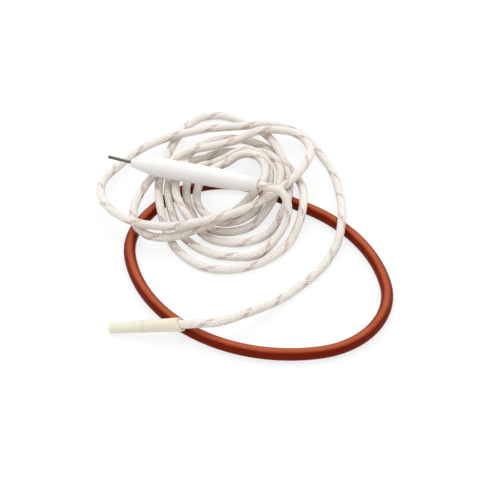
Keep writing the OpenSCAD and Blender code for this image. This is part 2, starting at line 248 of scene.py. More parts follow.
laid = []
crossings = []
for i in range(coil_rings + 1):
    for m in range(0 if i == 0 else i + look_ahead, min(i + look_ahead, coil_rings) + 1):
        n = min(m + 1, coil_rings)
        for k in range(parts_per_ring):
            f = k / parts_per_ring
            p = plan[m] + f * (plan[n] - plan[m])
            height = rest_height(p, m - same_strand - 1, laid) - lead_r
            crossings.append((run[m] + f * (run[n] - run[m]), height))
    near = crossings[max(0, parts_per_ring * (i - look_ahead - 1)):]
    rise_run = hump_run if coil_from + i / rings_per_turn < late_from else late_run
    laid.append(lead_r + max(hump(s - run[i], h, rise_run) for s, h in near))


def smooth_line(points, step):
    """Points an even step apart along a smooth curve through the given ones."""
    points = np.asarray(points)
    at = np.concatenate([[0], np.cumsum(np.linalg.norm(np.diff(points, axis=0), axis=1))])
    slope = np.gradient(points, at, axis=0)
    fine = np.linspace(0, at[-1], int(4 * at[-1] / step))
    k = np.clip(np.searchsorted(at, fine, side="right") - 1, 0, len(at) - 2)
    h = (at[k + 1] - at[k])[:, None]
    s = (fine - at[k])[:, None] / h
    curve = (
        (2 * s**3 - 3 * s**2 + 1) * points[k]
        + (s**3 - 2 * s**2 + s) * h * slope[k]
        + (3 * s**2 - 2 * s**3) * points[k + 1]
        + (s**3 - s**2) * h * slope[k + 1]
    )
    length = np.concatenate([[0], np.cumsum(np.linalg.norm(np.diff(curve, axis=0), axis=1))])
    even = np.linspace(0, length[-1], round(length[-1] / step) + 1)
    return np.column_stack([np.interp(even, length, curve[:, c]) for c in range(3)])


coil_start_dir = 2 * lead_r * flat_dir(coil_from)
coil_end_dir = 2 * lead_r * flat_dir(coil_from + coil_rings / rings_per_turn)
coil_points = np.column_stack([plan, laid])
lead_line = smooth_line(
    np.vstack([
        [probe_rear - cement_recess * probe_dir, probe_rear + 2 * lead_r * probe_dir],
        start_bends,
        [coil_points[0] - 2 * coil_start_dir, coil_points[0] - coil_start_dir],
        coil_points,
        [coil_points[-1] + coil_end_dir, coil_points[-1] + 2 * coil_end_dir],
        tail_bends,
        [sleeve_at + z * sleeve_dir for z in (straight_z, straight_z - lead_r, sleeve_len, braid_end_z)],
    ]),
    braid_pitch / pitch_steps,
)
lead_line[:, 2] = np.maximum(lead_line[:, 2], braid_core_r + braid_relief)


def tube_rings(line, radii):
    """Rings of points round a line, with a row of radii for each ring. The rings turn as little as they
    can from one to the next."""
    along = np.gradient(line, axis=0)
    along /= np.linalg.norm(along, axis=1)[:, None]
    across = np.zeros_like(along)
    carried = np.cross(along[0], [0, 0, 1] if abs(along[0][2]) < 0.9 else [1, 0, 0])
    for i, d in enumerate(along):
        carried = carried - d * (carried @ d)
        carried = carried / np.linalg.norm(carried)
        across[i] = carried
    up = np.cross(along, across)
    turn = 2 * math.pi * np.arange(radii.shape[1]) / radii.shape[1]
    rounds = np.cos(turn)[:, None] * across[:, None] + np.sin(turn)[:, None] * up[:, None]
    return line[:, None] + radii[..., None] * rounds


def skin(name, rings, loop=False, sheet=False, v_step=0.01):
    """A closed skin over rings of points, with a pole at each end, or closed to a loop. The rings of
    a sheet go out over one of its faces and back over the other, and its ends are closed across.
    Its UV map has the way round a ring as U and the ring's number times v_step as V."""
    rings = np.asarray(rings)
    count, sides = rings.shape[:2]
    points = list(rings.reshape(-1, 3))
    faces = []
    corners = []
    for i in range(count if loop else count - 1):
        a, b = i * sides, (i + 1) % count * sides
        for j in range(sides):
            k = (j + 1) % sides
            faces.append((a + j, a + k, b + k, b + j))
            corners += [(u / sides, v * v_step) for u, v in ((j, i), (j + 1, i), (j + 1, i + 1), (j, i + 1))]
    last = (count - 1) * sides
    if sheet:
        for j in range(sides // 2 - 1):
            across = (j, j + 1, sides - 2 - j, sides - 1 - j)
            faces += [across[::-1], tuple(last + k for k in across)]
            corners += [(k / sides, 0) for k in across[::-1]] + [(k / sides, count * v_step) for k in across]
    elif not loop:
        points += [rings[0].mean(0), rings[-1].mean(0)]
        for j in range(sides):
            k = (j + 1) % sides
            faces += [(len(points) - 2, k, j), (len(points) - 1, last + j, last + k)]
            corners += [(u / sides, 0) for u in (j + 0.5, j + 1, j)]
            corners += [(u / sides, count * v_step) for u in (j + 0.5, j, j + 1)]
    mesh = bpy.data.meshes.new(name)
    mesh.from_pydata([tuple(p) for p in points], [], faces)
    mesh.uv_layers.new(name="UVMap").data.foreach_set("uv", np.array(corners, np.float32).ravel())
    mesh.shade_smooth()
    piece = bpy.data.objects.new(name, mesh)
    bpy.context.collection.objects.link(piece)
    return piece


# The braid's relief: every carrier runs over two and under two, and is highest half way over
ring_numbers = np.arange(len(lead_line))
around = np.arange(braid_sides) / braid_sides
pitches = ring_numbers[:, None] / pitch_steps
a_way, b_way = carriers * (around + pitches), carriers * (around - pitches)
crossing = (np.floor(a_way) + np.floor(b_way)) % 4
a_over = crossing < 2
across_carrier = np.where(a_over, a_way, b_way) % 1
along_float = np.where(a_over, crossing + b_way % 1, crossing - 2 + a_way % 1) / 2
relief = (1 - (2 * across_carrier - 1) ** 2) * (1 - float_dip * (2 * along_float - 1) ** 2)
lead_rings = tube_rings(lead_line, braid_core_r + braid_relief * relief)
lead_braid = skin("lead_braid", lead_rings, v_step=1 / pitch_steps)

# Painted shade, brown, where strands lie against each other: 1 where they touch, less further away, up to
# the reach given above
strand_gaps = np.linalg.norm(lead_line[:, None] - lead_line, axis=2) - 2 * lead_r
strand_gaps[np.abs(ring_numbers[:, None] - ring_numbers) < pitch_steps] = contact_shade_reach
contact_shade = np.zeros(len(lead_braid.data.vertices), np.float32)
for i in ring_numbers[strand_gaps.min(1) < contact_shade_reach]:
    others = lead_line[strand_gaps[i] < contact_shade_reach]
    gaps = np.linalg.norm(lead_rings[i][:, None] - others, axis=2).min(1) - lead_r
    contact_shade[i * braid_sides:(i + 1) * braid_sides] = np.clip(1 - gaps / contact_shade_reach, 0, 1)
lead_braid.data.attributes.new("ContactShade", "FLOAT", "POINT").data.foreach_set("value", contact_shade)


def plug(tree, socket, value):
    """Sets an input to a number or a colour, or links it to another node's output."""
    if isinstance(value, bpy.types.NodeSocket):
        tree.links.new(value, socket)
    else:
        socket.default_value = value


def add(tree, kind, **inputs):
    """A node of the given kind, with its inputs set or linked, with _ for a space."""
    node = tree.nodes.new(kind)
    for socket, value in inputs.items():
        plug(tree, node.inputs[socket.replace("_", " ")], value)
    return node


def calc(tree, operation, *values):
    """The output of a Math node; its inputs are numbers or other nodes' outputs."""
    node = tree.nodes.new("ShaderNodeMath")
    node.operation = operation
    for socket, value in zip(node.inputs, values):
        plug(tree, socket, value)
    return node.outputs[0]


def pick(tree, share, low, high):
    """A number between low and high, by share."""
    return calc(tree, "MULTIPLY_ADD", share, calc(tree, "SUBTRACT", high, low), low)


def tint(tree, share, low, high):
    """A colour between low and high, by share."""
    node = tree.nodes.new("ShaderNodeMix")
    node.data_type = "RGBA"
    plug(tree, node.inputs[0], share)
    plug(tree, node.inputs[6], low)
    plug(tree, node.inputs[7], high)
    return node.outputs[2]


def split(tree, vector):
    """The three numbers of a vector."""
    return add(tree, "ShaderNodeSeparateXYZ", Vector=vector).outputs


def object_place(tree):
    return tree.nodes.new("ShaderNodeTexCoord").outputs["Object"]


def grain(tree, size, detail=2.0):
    """Soft noise from 0 to 1 with spots of about the given size in metres."""
    node = add(tree, "ShaderNodeTexNoise", Vector=object_place(tree), Scale=1 / size, Detail=detail)
    return node.outputs[0]


def emboss(tree, shader, height, depth):
    """Raises the surface by a height from 0 to 1 times the depth."""
    node = add(tree, "ShaderNodeBump", Strength=1.0, Distance=depth, Height=height)
    tree.links.new(node.outputs[0], shader.inputs["Normal"])


def new_finish(name, **constants):
    """A material whose Principled shader has the given constants, with _ for a space."""
    material = bpy.data.materials.new(name)
    material.use_nodes = True
    shader = material.node_tree.nodes["Principled BSDF"]
    for socket, value in constants.items():
        shader.inputs[socket.replace("_", " ")].default_value = value
    return material, material.node_tree, shader


def dress(piece, material):
    piece.data.materials.clear()
    piece.data.materials.append(material)


def new_effect(name, inputs, outputs):
    """A shader node group with number inputs and outputs."""
    group = bpy.data.node_groups.new(name, "ShaderNodeTree")
    for socket in inputs:
        group.interface.new_socket(socket, in_out="INPUT", socket_type="NodeSocketFloat")
    for socket in outputs:
        group.interface.new_socket(socket, in_out="OUTPUT", socket_type="NodeSocketFloat")
    return group, group.nodes.new("NodeGroupInput").outputs, group.nodes.new("NodeGroupOutput").inputs


# The weave: which carrier is on top, how high its yarn lies there, and whether it is the tracer
weave, put_in, put_out = new_effect(
    "braid weave", ["Around", "Along", "Carriers", "Tracers"], ["Height", "Tracer", "Yarn"]
)
a_way, b_way = (
    calc(weave, "MULTIPLY", calc(weave, way, put_in["Around"], put_in["Along"]), put_in["Carriers"])
    for way in ("ADD", "SUBTRACT")
)
a_number, b_number = calc(weave, "FLOOR", a_way), calc(weave, "FLOOR", b_way)
crossing = calc(weave, "FLOORED_MODULO", calc(weave, "ADD", a_number, b_number), 4)
a_over = calc(weave, "LESS_THAN", crossing, 1.5)
a_part, b_part = calc(weave, "FRACT", a_way), calc(weave, "FRACT", b_way)
across_carrier = pick(weave, a_over, b_part, a_part)
a_float = calc(weave, "ADD", crossing, b_part)
b_float = calc(weave, "ADD", calc(weave, "SUBTRACT", crossing, 2), a_part)
along_float = calc(weave, "DIVIDE", pick(weave, a_over, b_float, a_float), 2)


def crown(tree, part):
    """1 in the middle of a part that runs from 0 to 1, and 0 at both its sides."""
    off = calc(tree, "MULTIPLY_ADD", part, 2, -1)
    return calc(tree, "SUBTRACT", 1, calc(tree, "MULTIPLY", off, off))


yarn = calc(weave, "POWER", crown(weave, across_carrier), 0.8)
arch = calc(weave, "POWER", crown(weave, along_float), 0.4)
plug(weave, put_out["Height"], calc(weave, "MULTIPLY", yarn, arch))
carrier = calc(weave, "FLOORED_MODULO", calc(weave, "ADD", a_number, 0.5), put_in["Carriers"])
pink_carrier = calc(weave, "LESS_THAN", carrier, put_in["Tracers"])
plug(weave, put_out["Tracer"], calc(weave, "MULTIPLY", pink_carrier, pick(weave, a_over, 0.35, 1.0)))
# A number from 0 to 1 for every yarn, scattered so that it looks random
yarn_number = calc(weave, "MULTIPLY_ADD", a_number, 7.31, calc(weave, "MULTIPLY", b_number, 3.17))
scattered = calc(weave, "MULTIPLY", calc(weave, "SINE", yarn_number), 43.7)
plug(weave, put_out["Yarn"], calc(weave, "FRACT", scattered))


def braid_finish(name, tree_place):
    """Glass yarn: matt, off-white, with painted shade between the yarns, each yarn a little different, and a
    brown painted shade between them where strands lie against each other."""
    material, tree, shader = new_finish(name, Roughness=0.75, Specular_IOR_Level=0.25, Sheen_Weight=0.08)
    place = tree_place(tree)
    node = tree.nodes.new("ShaderNodeGroup")
    node.node_tree = weave
    plug(tree, node.inputs["Around"], place[0])
    plug(tree, node.inputs["Along"], place[1])
    node.inputs["Carriers"].default_value = carriers
    node.inputs["Tracers"].default_value = tracer_carriers
    height, tracer, yarn = node.outputs
    light = calc(tree, "MULTIPLY_ADD", grain(tree, soil_size), soil_light, light_base)
    light = calc(tree, "MULTIPLY_ADD", yarn, yarn_light, light)
    light = calc(tree, "MULTIPLY_ADD", grain(tree, fluff_size, 3), fluff_light, light)
    # Painted shade: darker towards the low parts between the yarns, and lighter or darker at random by yarn,
    # soiling and fluff
    depth = calc(tree, "MULTIPLY", calc(tree, "POWER", height, 0.5), light)
    glass = tint(tree, depth, glass_shade, glass_white)
    pink = tint(tree, calc(tree, "MULTIPLY", height, light), tracer_shade, tracer_pink)
    clean = tint(tree, tracer, glass, pink)
    # Painted shade: brown where strands lie against each other, mostly in the low parts between the yarns
    contact_shade_node = tree.nodes.new("ShaderNodeAttribute")
    contact_shade_node.attribute_name = "ContactShade"
    contact_shaded = calc(tree, "MULTIPLY", contact_shade_node.outputs["Fac"], calc(tree, "SUBTRACT", 1, depth))
    plug(tree, shader.inputs["Base Color"], tint(tree, contact_shaded, clean, glass_contact_shade))
    emboss(tree, shader, height, braid_bump)
    return material


def uv_place(tree):
    """The way round the lead in turns, and along it in pitches of the braid."""
    uv = tree.nodes.new("ShaderNodeUVMap")
    uv.uv_map = "UVMap"
    return split(tree, uv.outputs[0])


dress(lead_braid, braid_finish("glass braid", uv_place))
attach(lead_braid, "probe")
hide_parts("lead_start", "lead_coil", "lead_tail")


# Inside the ceramic the lead is stepped back: braid, insulation and strands end one after the other
# and are held by potting cement, and a crimped ferrule joins the strands to the rod.
def turn_to(turn, rise):
    """Euler angles that turn Z to a heading in plan and a rise, both in degrees."""
    return 0, math.radians(90 - rise), math.radians(turn)


def place_along(tree, at, turn, rise):
    """Object coordinates turned so that Z runs from a place along its heading."""
    node = tree.nodes.new("ShaderNodeMapping")
    node.vector_type = "TEXTURE"
    node.inputs["Location"].default_value = at
    node.inputs["Rotation"].default_value = turn_to(turn, rise)
    tree.links.new(object_place(tree), node.inputs["Vector"])
    return split(tree, node.outputs[0])


def round_probe(tree):
    """The way round the probe's axis in turns, and along it in pitches of the braid."""
    x, y, z = place_along(tree, *probe_pose)
    around = calc(tree, "DIVIDE", calc(tree, "ARCTAN2", y, x), 2 * math.pi)
    return around, calc(tree, "DIVIDE", z, braid_pitch)


dress(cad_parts["probe_braid"], braid_finish("glass braid in the cement", round_probe))

cement_pale = (0.80, 0.78, 0.73, 1)
cement_dark = (0.58, 0.55, 0.49, 1)
cement, tree, shader = new_finish("potting cement", Roughness=0.9, Specular_IOR_Level=0.2)
lumps = grain(tree, 0.6 * mm, 5)
plug(tree, shader.inputs["Base Color"], tint(tree, lumps, cement_dark, cement_pale))
emboss(tree, shader, lumps, 0.15 * mm)
dress(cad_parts["rear_cement"], cement)

# Tin colours, dark and bright: random tarnish on the terminal's wire, and painted shade and painted
# highlight on the strands in the cement
strand_bright = (0.72, 0.69, 0.65, 1)
strand_dark = (0.36, 0.33, 0.30, 1)
strand_lay = 9 * mm
strand_count = 6


def strand_finish(name, tree_place):
    """Tinned copper strands, with a painted highlight on their crowns and painted shade between them."""
    material, tree, shader = new_finish(name, Metallic=1.0, Roughness=0.35)
    around, along = tree_place(tree)
    lay = calc(tree, "MULTIPLY_ADD", along, braid_pitch / strand_lay, around)
    crown_light = crown(tree, calc(tree, "FRACT", calc(tree, "MULTIPLY", lay, strand_count)))
    # Painted highlight on each strand's crown and painted shade in the grooves between strands
    plug(tree, shader.inputs["Base Color"], tint(tree, crown_light, strand_dark, strand_bright))
    emboss(tree, shader, crown_light, 0.08 * mm)
    return material


dress(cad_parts["probe_conductor"], strand_finish("tinned strands in the cement", round_probe))

insulation_red = (0.36, 0.075, 0.035, 1)
insulation_dark = (0.24, 0.045, 0.02, 1)
insulation, tree, shader = new_finish("silicone insulation", Roughness=0.5, Specular_IOR_Level=0.3)
cloud = grain(tree, 1.5 * mm, 3)
plug(tree, shader.inputs["Base Color"], tint(tree, cloud, insulation_dark, insulation_red))
emboss(tree, shader, cloud, 0.04 * mm)
dress(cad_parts["probe_insulation"], insulation)
dress(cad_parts["terminal_insulation"], insulation)


def metal_finish(name, dark, bright, rough_low, rough_high, spot):
    """Bare metal with cloudy tarnish and a fine uneven surface."""
    material, tree, shader = new_finish(name, Metallic=1.0)
    tarnish = grain(tree, spot, 4)
    scuff = grain(tree, spot / 8)
    plug(tree, shader.inputs["Base Color"], tint(tree, tarnish, dark, bright))
    plug(tree, shader.inputs["Roughness"], pick(tree, tarnish, rough_high, rough_low))
    emboss(tree, shader, scuff, 0.02 * mm)
    return material


plate_dark = (0.45, 0.45, 0.44, 1)
plate_bright = (0.68, 0.68, 0.67, 1)
plated = metal_finish("tin plate", plate_dark, plate_bright, 0.28, 0.45, 2 * mm)
dress(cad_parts["splice_ferrule"], plated)

# Ceramic body: one turned and fired spindle of white ceramic with a satin surface, a curved taper in
# front, a straight middle for the holder, and a long taper behind with a recess where the lead goes in.
body_r = 5 * mm
front_r = 2.2 * mm
rear_r = 3.6 * mm
front_taper = 18 * mm
grip_len = 20 * mm
edge_r = 0.4 * mm
recess_r = 2.5 * mm
recess_depth = cement_recess + 0.5 * mm
turning_pitch = 0.35 * mm
stain_from = body_len - 7.2 * mm
stain_full = body_len + 0.8 * mm
ceramic_white = (0.865, 0.85, 0.825, 1)
ceramic_shade = (0.815, 0.80, 0.775, 1)
ceramic_stain = (0.66, 0.58, 0.52, 1)


def new_shape(name, sizes):
    """A geometry tree with a named number input for every size."""
    tree = bpy.data.node_groups.new(name, "GeometryNodeTree")
    for size in sizes:
        tree.interface.new_socket(size, in_out="INPUT", socket_type="NodeSocketFloat")
    tree.interface.new_socket("Geometry", in_out="OUTPUT", socket_type="NodeSocketGeometry")
    return tree, tree.nodes.new("NodeGroupInput").outputs


def grow(name, tree, geometry, material, sizes):
    """Ends the tree, runs it with the given sizes and keeps the result as a plain mesh."""
    whole = add(tree, "GeometryNodeRealizeInstances", Geometry=geometry)
    smooth = add(tree, "GeometryNodeSetShadeSmooth", Geometry=whole.outputs[0])
    painted = add(tree, "GeometryNodeSetMaterial", Geometry=smooth.outputs[0], Material=material)
    end = tree.nodes.new("NodeGroupOutput")
    tree.links.new(painted.outputs[0], end.inputs[0])
    piece = bpy.data.objects.new(name, bpy.data.meshes.new(name))
    bpy.context.collection.objects.link(piece)
    modifier = piece.modifiers.new("shape", "NODES")
    modifier.node_group = tree
    for item in tree.interface.items_tree:
        if item.in_out == "INPUT":
            modifier[item.identifier] = sizes[item.name]
    grown = piece.evaluated_get(bpy.context.evaluated_depsgraph_get())
    mesh = bpy.data.meshes.new_from_object(grown)
    piece.modifiers.remove(modifier)
    piece.data = mesh
    mesh.name = name
    return piece


def ramp(tree, value, start, end):
    """0 up to the start, 1 from the end on, and even in between."""
    share = calc(tree, "MULTIPLY_ADD", value, 1 / (end - start), -start / (end - start))
    return calc(tree, "MINIMUM", calc(tree, "MAXIMUM", share, 0), 1)


glaze, tree, shader = new_finish("satin ceramic", Specular_IOR_Level=0.45)
from_front = place_along(tree, *probe_pose)[2]
turned = calc(tree, "SINE", calc(tree, "MULTIPLY", from_front, 2 * math.pi / turning_pitch))
mottle = grain(tree, 5 * mm, 4)
pores = grain(tree, 0.3 * mm, 3)
smear = calc(tree, "MULTIPLY", ramp(tree, from_front, stain_from, stain_full), mottle)
fired = tint(tree, mottle, ceramic_shade, ceramic_white)
plug(tree, shader.inputs["Base Color"], tint(tree, smear, fired, ceramic_stain))
plug(tree, shader.inputs["Roughness"], pick(tree, mottle, 0.5, 0.36))
emboss(tree, shader, calc(tree, "MULTIPLY_ADD", turned, 0.25, pores), 0.006 * mm)

ceramic_sizes = {
    "Length": body_len, "Body radius": body_r, "Front radius": front_r, "Rear radius": rear_r,
    "Front taper": front_taper, "Straight length": grip_len, "Edge radius": edge_r,
    "Recess radius": recess_r, "Recess depth": recess_depth,
}
spindle, size = new_shape("turned spindle", ceramic_sizes)
rows, columns = 240, 73
grid = add(spindle, "GeometryNodeMeshGrid", Size_X=1.0, Size_Y=1.0, Vertices_X=rows, Vertices_Y=columns)
on_grid = split(spindle, spindle.nodes.new("GeometryNodeInputPosition").outputs[0])
row = calc(spindle, "ADD", on_grid[0], 0.5)
angle = calc(spindle, "MULTIPLY", on_grid[1], -2 * math.pi)


def ball_drop(tree, radius, off):
    """How far a circle of that radius has dropped at the distance off from its top."""
    flat = calc(tree, "SUBTRACT", calc(tree, "MULTIPLY", radius, radius), calc(tree, "MULTIPLY", off, off))
    return calc(tree, "SUBTRACT", radius, calc(tree, "SQRT", calc(tree, "MAXIMUM", flat, 0)))


def past(tree, value, limit):
    """How far the value is past the limit, or 0."""
    return calc(tree, "MAXIMUM", calc(tree, "SUBTRACT", value, limit), 0)


def taper_radius(tree, length, drop):
    """The radius of an arc that drops so far over that length."""
    squares = calc(tree, "MULTIPLY_ADD", length, length, calc(tree, "MULTIPLY", drop, drop))
    return calc(tree, "DIVIDE", squares, calc(tree, "MULTIPLY", drop, 2))


# A row's way along the outline: out over the front face, along the body, in over the rear face, down
# into the recess and in over its floor, which is under the cement
front_face = calc(spindle, "SUBTRACT", size["Front radius"], size["Edge radius"])
rear_edge = calc(spindle, "SUBTRACT", size["Rear radius"], size["Edge radius"])
rear_face = calc(spindle, "SUBTRACT", rear_edge, size["Recess radius"])
inward = calc(spindle, "ADD", rear_edge, size["Recess depth"])
whole_way = calc(spindle, "ADD", calc(spindle, "ADD", size["Length"], front_face), inward)
half_wave = calc(spindle, "COSINE", calc(spindle, "MULTIPLY", row, math.pi))
eased = calc(spindle, "MULTIPLY_ADD", half_wave, -0.5, 0.5)
way = calc(spindle, "SUBTRACT", calc(spindle, "MULTIPLY", eased, whole_way), front_face)
beyond = past(spindle, way, size["Length"])
over_face = calc(spindle, "MINIMUM", beyond, rear_face)
past_face = past(spindle, beyond, rear_face)
down_wall = calc(spindle, "MINIMUM", past_face, size["Recess depth"])
station = calc(spindle, "MINIMUM", calc(spindle, "MAXIMUM", way, 0), size["Length"])
front_drop = calc(spindle, "SUBTRACT", size["Body radius"], size["Front radius"])
front_arc = taper_radius(spindle, size["Front taper"], front_drop)
rear_from = calc(spindle, "ADD", size["Front taper"], size["Straight length"])
rear_taper = calc(spindle, "SUBTRACT", size["Length"], rear_from)
rear_drop = calc(spindle, "SUBTRACT", size["Body radius"], size["Rear radius"])
rear_arc = taper_radius(spindle, rear_taper, rear_drop)
to_rear = calc(spindle, "SUBTRACT", size["Length"], station)
drops = [
    ball_drop(spindle, front_arc, past(spindle, size["Front taper"], station)),
    ball_drop(spindle, rear_arc, past(spindle, station, rear_from)),
    ball_drop(spindle, size["Edge radius"], past(spindle, size["Edge radius"], station)),
    ball_drop(spindle, size["Edge radius"], past(spindle, size["Edge radius"], to_rear)),
    calc(spindle, "MAXIMUM", calc(spindle, "MULTIPLY", way, -1), 0),
    over_face,
    past(spindle, past_face, size["Recess depth"]),
]
radius = size["Body radius"]
for drop in drops:
    radius = calc(spindle, "SUBTRACT", radius, drop)
spot = add(
    spindle, "ShaderNodeCombineXYZ",
    X=calc(spindle, "MULTIPLY", radius, calc(spindle, "COSINE", angle)),
    Y=calc(spindle, "MULTIPLY", radius, calc(spindle, "SINE", angle)),
    Z=calc(spindle, "SUBTRACT", station, down_wall),
)
shaped = add(spindle, "GeometryNodeSetPosition", Geometry=grid.outputs[0], Position=spot.outputs[0])
closed = add(spindle, "GeometryNodeMergeByDistance", Geometry=shaped.outputs[0], Distance=0.001 * mm)
placed = add(
    spindle, "GeometryNodeTransform", Geometry=closed.outputs[0], Translation=tuple(probe_at),
    Rotation=turn_to(probe_turn, probe_rise),
)
ceramic_spindle = grow("ceramic_spindle", spindle, placed.outputs[0], glaze, ceramic_sizes)
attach(ceramic_spindle, "probe")
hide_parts("ceramic_body")

# Sensing rod: a heat-proof alloy wire, dark from heat, bent a little in front of the ceramic.
# It goes through the ceramic into the ferrule, and a ring of cement seals it in the front face.
rod_r = 0.8 * mm
rod_out = 12.5 * mm
rod_bend = math.radians(5)
bend_gap = 1 * mm
bend_r = 8 * mm
rod_end_z = 35 * mm
tip_chamfer = 0.25 * mm
rod_sides = 32
bend_steps = 6
rod_dark = (0.075, 0.073, 0.071, 1)
rod_bright = (0.23, 0.225, 0.22, 1)


def in_frame(points, at, turn, rise):
    """Points of a frame whose Z runs along a heading and whose X runs down, in the object's frame."""
    along, down = heading(turn, rise), heading(turn, rise - 90)
    return at + np.asarray(points) @ np.array([down, np.cross(along, down), along])


bend_angles = np.linspace(0, rod_bend, bend_steps + 1)
bend_points = [(0, bend_r - bend_r * math.cos(a), -bend_gap - bend_r * math.sin(a)) for a in bend_angles]
straight_out = rod_out - bend_gap
bend_out = np.array([0, math.sin(rod_bend), -math.cos(rod_bend)])
rod_line = np.vstack([
    [(0, 0, rod_end_z), (0, 0, 0)],
    bend_points,
    bend_points[-1] + (straight_out - tip_chamfer) * bend_out,
    bend_points[-1] + straight_out * bend_out,
])
rod_radii = np.full((len(rod_line), rod_sides), rod_r)
rod_radii[-1] = rod_r - tip_chamfer
sensing_rod = skin("sensing_rod", in_frame(tube_rings(rod_line, rod_radii), *probe_pose))
dress(sensing_rod, metal_finish("heat-dark alloy", rod_dark, rod_bright, 0.32, 0.5, 1.2 * mm))
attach(sensing_rod, "probe")
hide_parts("electrode_rod")

rod_seat_r = 1.4 * mm
seal_len = 5 * mm
meniscus = 0.5 * mm
meniscus_steps = 6
seal_sunk = 0.02 * mm
seal_outline = [(rod_seat_r, seal_len), (rod_seat_r, seal_sunk)]
for k in range(meniscus_steps + 1):
    a = math.pi / 2 * k / meniscus_steps
    seal_outline.append((rod_r + meniscus * (1 - math.sin(a)), -meniscus * (1 - math.cos(a))))
seal_outline.append((rod_r, seal_len))


def lathe_rings(outline, sides):
    """Rings of points round the Z axis from an outline of radius and height."""
    turn = np.linspace(0, 2 * math.pi, sides, endpoint=False)
    return np.array([[(r * math.cos(a), r * math.sin(a), z) for a in turn] for r, z in outline])


seal_rings = in_frame(lathe_rings(seal_outline, rod_sides), *probe_pose)
rod_seal = skin("rod_seal", seal_rings[::-1], loop=True)
dress(rod_seal, cement)
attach(rod_seal, "probe")
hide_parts("front_cement")

# Wire at the terminal: six tinned strands laid round a middle one, gripped by the front crimp.
strand_r = 0.2 * mm
wire_end_z = 9 * mm
wire_len = braid_end_z - wire_end_z
strand_sizes = {"Length": wire_len, "Strand radius": strand_r, "Turns": wire_len / strand_lay}
wire, size = new_shape("stranded wire", strand_sizes)
helix_r = calc(wire, "MULTIPLY", size["Strand radius"], 2)
helix = add(
    wire, "GeometryNodeCurveSpiral", Resolution=24, Rotations=size["Turns"], Height=size["Length"],
    Start_Radius=helix_r, End_Radius=helix_r,
)
wire_top = add(wire, "ShaderNodeCombineXYZ", Z=size["Length"])
middle = add(wire, "GeometryNodeCurvePrimitiveLine", End=wire_top.outputs[0])
spots = add(wire, "GeometryNodeMeshLine", Count=strand_count, Offset=(0, 0, 0))
strand_number = wire.nodes.new("GeometryNodeInputIndex").outputs[0]
step_round = calc(wire, "MULTIPLY", strand_number, 2 * math.pi / strand_count)
strands = add(
    wire, "GeometryNodeInstanceOnPoints", Points=spots.outputs[0], Instance=helix.outputs[0],
    Rotation=add(wire, "ShaderNodeCombineXYZ", Z=step_round).outputs[0],
)
bundle = wire.nodes.new("GeometryNodeJoinGeometry")
for part in (add(wire, "GeometryNodeRealizeInstances", Geometry=strands.outputs[0]), middle):
    wire.links.new(part.outputs[0], bundle.inputs[0])
strand_section = add(wire, "GeometryNodeCurvePrimitiveCircle", Resolution=12, Radius=size["Strand radius"])
drawn = add(
    wire, "GeometryNodeCurveToMesh", Curve=bundle.outputs[0], Profile_Curve=strand_section.outputs[0],
    Fill_Caps=True,
)
placed = add(
    wire, "GeometryNodeTransform", Geometry=drawn.outputs[0], Rotation=turn_to(sleeve_turn, sleeve_rise),
    Translation=tuple(sleeve_at + wire_end_z * sleeve_dir),
)
tinned = metal_finish("tinned strands", strand_dark, strand_bright, 0.3, 0.45, 0.8 * mm)
wire_strands = grow("wire_strands", wire, placed.outputs[0], tinned, strand_sizes)
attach(wire_strands, "probe")
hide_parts("terminal_conductor")

# Push-on terminal: one strip of tinned sheet. Its edges are rolled over the tab in front, and two
# pairs of wings are crimped round the wire and round the insulation.
sheet_t = 0.3 * mm
wing_steps = 20
# Each station: place along the terminal, half width of the flat floor, radius and angle of the wing
stations = [
    (1.0, 1.05, 0.6, 262), (1.3, 1.05, 0.6, 270), (7.7, 1.05, 0.6, 270), (8.0, 1.05, 0.6, 262),
    (8.5, 0.8, 0.7, 90), (9.1, 0.3, 0.78, 110), (9.5, 0.05, 0.76, 172), (9.8, 0.02, 0.75, 178),
    (12.7, 0.02, 0.75, 178), (13.0, 0.05, 0.76, 172), (13.3, 0.5, 1.0, 70), (13.7, 0.3, 1.4, 80),
    (14.0, 0.05, 1.45, 170), (14.4, 0.02, 1.45, 177), (17.6, 0.02, 1.45, 177), (18.0, 0.05, 1.46, 172),
]
tab_floor = 0.8 * mm
grip_floor = 1.45 * mm
floor_step_z = (12.9 * mm, 13.8 * mm)


def wing_line(floor, flat, radius, angle):
    """Half the sheet's section from its middle outwards, with the direction square to the sheet."""
    points, normals = [(floor, 0.0)], [(1.0, 0.0)]
    for k in range(wing_steps + 1):
        a = math.radians(angle) * k / wing_steps
        points.append((floor - radius + radius * math.cos(a), flat + radius * math.sin(a)))
        normals.append((math.cos(a), math.sin(a)))
    return np.array(points), np.array(normals)


sheet_rings = []
mirrored = np.array([1, -1])
for z, flat, radius, angle in stations:
    z, flat, radius = z * mm, flat * mm, radius * mm
    share = min(1, max(0, (z - floor_step_z[0]) / (floor_step_z[1] - floor_step_z[0])))
    points, normals = wing_line(tab_floor + share * (grip_floor - tab_floor), flat, radius, angle)
    points = np.vstack([points[:0:-1] * mirrored, points])
    normals = np.vstack([normals[:0:-1] * mirrored, normals])
    outer, inner = points + normals * sheet_t / 2, points - normals * sheet_t / 2
    section = np.vstack([outer, inner[::-1]])
    sheet_rings.append(np.column_stack([section, np.full(len(section), z)]))
push_on_terminal = skin("push_on_terminal", in_frame(sheet_rings, *sleeve_pose), sheet=True)
dress(push_on_terminal, plated)
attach(push_on_terminal, "probe")
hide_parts("terminal_receptacle")

# Sleeve: a soft, milky tube that is pushed over the terminal. It is narrow at the terminal and wider
# at the lead, where its cut end closes round the braid, and it slides back along the lead.
sleeve_front_r = 2.6 * mm
sleeve_rear_r = 3.4 * mm
sleeve_bore_r = 2.25 * mm
sleeve_wall = 0.6 * mm
